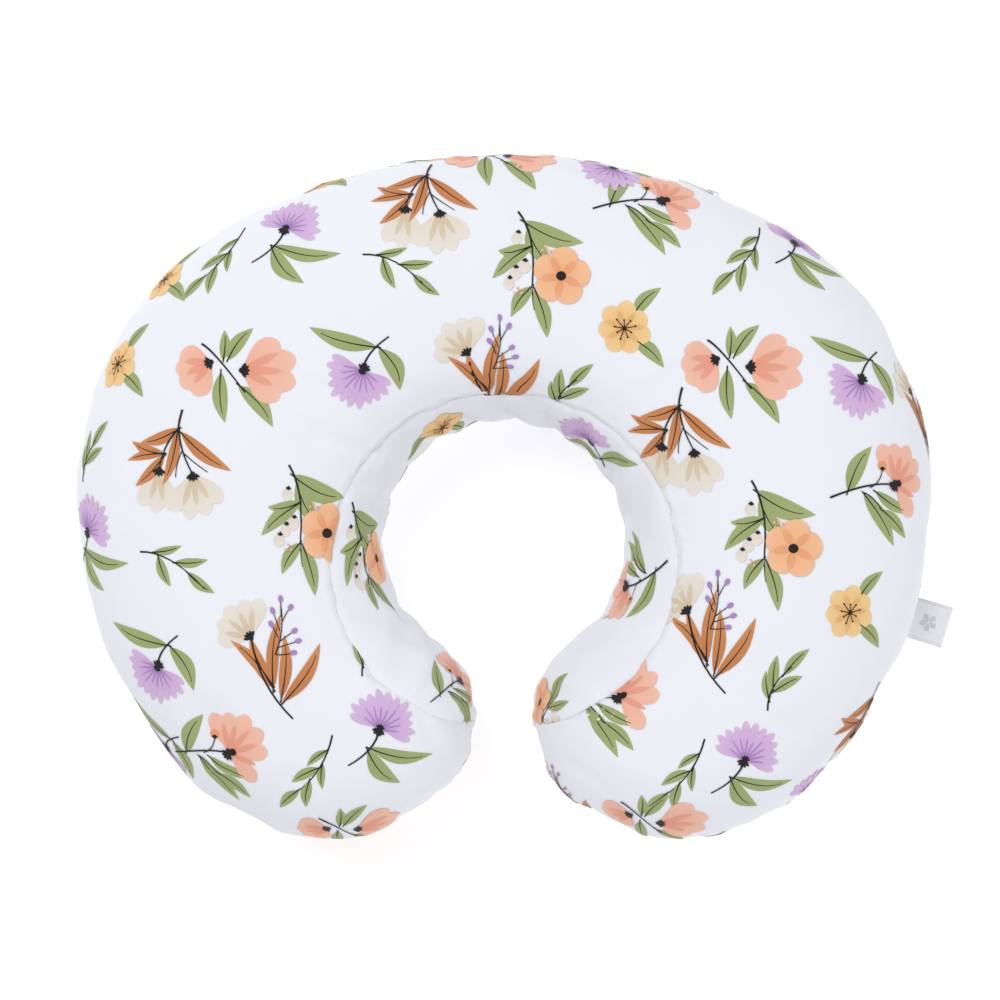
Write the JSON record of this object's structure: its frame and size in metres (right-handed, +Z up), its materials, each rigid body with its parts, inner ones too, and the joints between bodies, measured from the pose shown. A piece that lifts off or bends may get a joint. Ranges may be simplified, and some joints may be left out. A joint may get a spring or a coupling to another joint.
{
  "type": "nursing pillow",
  "caption": "C-shaped stuffed nursing pillow in a printed cotton slipcover with a gusseted inner curve, a coil zipper along the crown and a side label.",
  "frame": {"origin": "on the flat underside, on the plane of symmetry, below the middle of the crown", "axes": "+Z up through the pillow's thickness, +Y towards the crown's outer edge, -Y towards the gap between the tips, +X towards the arm that carries the side label"},
  "size_m": [0.5435, 0.4251, 0.15],
  "materials": {
    "printed_cotton": "soft plain weave, white ground with scattered botanical motifs printed in sage green, rust, peach, yellow, lilac and cream",
    "sewing_thread": "white polyester thread",
    "zipper_tape": "white woven polyester tape",
    "zipper_coil": "white nylon coil",
    "zipper_stops": "white lacquered",
    "zipper_slider": "white lacquered die-cast",
    "satin_ribbon": "white satin with a printed grey mark",
    "care_ribbon": "white satin",
    "casing_cloth": "white plain woven",
    "polyester_fibre": "white lofted fibre"
  },
  "bodies": {
    "pillow": {"cover_top_panel": "printed_cotton", "cover_bottom_panel": "printed_cotton", "cover_inner_band": "printed_cotton", "outer_seam_stitching": "sewing_thread", "band_seam_stitching_upper": "sewing_thread", "band_seam_stitching_lower": "sewing_thread", "zipper_tape_upper": "zipper_tape", "zipper_tape_lower": "zipper_tape", "zipper_coil_upper": "zipper_coil", "zipper_coil_lower": "zipper_coil", "zipper_top_stops": "zipper_stops", "zipper_bottom_stop": "zipper_stops", "zipper_topstitch_upper": "sewing_thread", "zipper_topstitch_lower": "sewing_thread", "zipper_bar_tacks": "sewing_thread", "care_label": "care_ribbon", "contents_label": "care_ribbon", "casing_top_panel": "casing_cloth", "casing_bottom_panel": "casing_cloth", "casing_inner_band": "casing_cloth", "casing_closing_stitches": "sewing_thread", "fibre_fill": "polyester_fibre"},
    "slider": {"zipper_slider": "zipper_slider"},
    "pull": {"zipper_pull_tab": "zipper_slider"},
    "label": {"side_label": "satin_ribbon"}
  },
  "joints": [
    {"name": "slider_travel", "type": "hinge", "parent": "pillow", "child": "slider", "pos_m": [0, -0.25182, 0.075], "axis": [0, 0, 1], "range_deg": [0, 45.6]},
    {"name": "pull_swing", "type": "hinge", "parent": "slider", "child": "pull", "pos_m": [0.13077, 0.05926, 0.075], "axis": [0, 0, -1], "range_deg": [0, 180]},
    {"name": "label_flap", "type": "hinge", "parent": "pillow", "child": "label", "pos_m": [0.25244, -0.20509, 0.075], "axis": [-0.2924, -0.9563, 0], "range_deg": [-60, 60], "stiffness_Nm_per_rad": 0.002}
  ]
}
